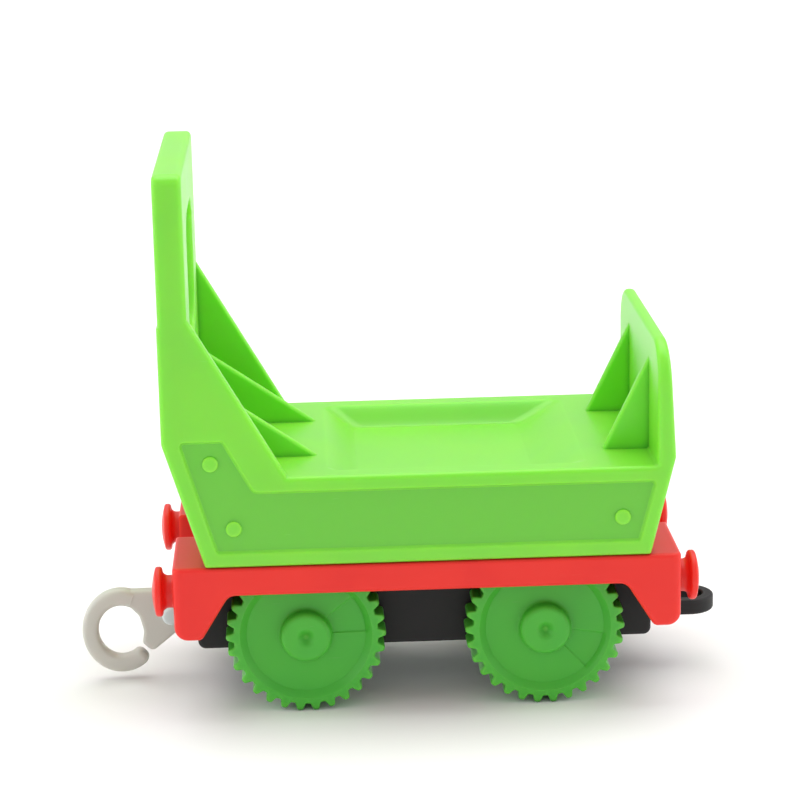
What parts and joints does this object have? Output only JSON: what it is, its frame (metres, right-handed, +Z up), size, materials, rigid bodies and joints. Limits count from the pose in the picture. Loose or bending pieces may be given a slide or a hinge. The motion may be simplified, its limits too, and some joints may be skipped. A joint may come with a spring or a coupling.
{
  "type": "toy railway wagon",
  "caption": "Toy railway wagon with a high-backed load bed, toothed wheels, a swinging hook at the front and a fixed loop at the rear.",
  "frame": {"origin": "on the floor under the wheels, at the middle of the overall length over both couplings, on the centreline", "axes": "+X along the wagon from the hook end to the loop end, +Z up; +Y is the side on the right of someone facing the hook end"},
  "size_m": [0.1086, 0.049, 0.0911],
  "materials": {
    "body_plastic": "satin moulded, lime green",
    "chassis_plastic": "satin moulded, red",
    "wheel_plastic": "satin moulded, mid green",
    "underframe_plastic": "fine-grained moulded, black",
    "hook_plastic": "smooth moulded, warm light grey",
    "steel": "plain bright steel"
  },
  "bodies": {
    "wagon": {"cargo_body": "body_plastic", "chassis_frame": "chassis_plastic", "underframe": "underframe_plastic", "rear_loop": "underframe_plastic", "hook_pin": "steel", "buffer_front_left": "chassis_plastic", "buffer_front_right": "chassis_plastic", "buffer_rear_left": "chassis_plastic", "buffer_rear_right": "chassis_plastic", "screw_front_left": "steel", "screw_front_right": "steel", "screw_rear_left": "steel", "screw_rear_right": "steel"},
    "wheelset_front": {"axle_front": "steel", "wheel_front_left": "wheel_plastic", "wheel_front_right": "wheel_plastic"},
    "wheelset_rear": {"axle_rear": "steel", "wheel_rear_left": "wheel_plastic", "wheel_rear_right": "wheel_plastic"},
    "hook": {"coupling_hook": "hook_plastic"}
  },
  "joints": [
    {"name": "wheelset_front_spin", "type": "hinge", "parent": "wagon", "child": "wheelset_front", "pos_m": [-0.01605, 0, 0.01316], "axis": [0, 1, 0], "continuous": true},
    {"name": "wheelset_rear_spin", "type": "hinge", "parent": "wagon", "child": "wheelset_rear", "pos_m": [0.02345, 0, 0.01316], "axis": [0, 1, 0], "continuous": true},
    {"name": "hook_swing", "type": "hinge", "parent": "wagon", "child": "hook", "pos_m": [-0.03065, 0, 0.0133], "axis": [0, 0, 1], "range_deg": [-22, 22]}
  ]
}
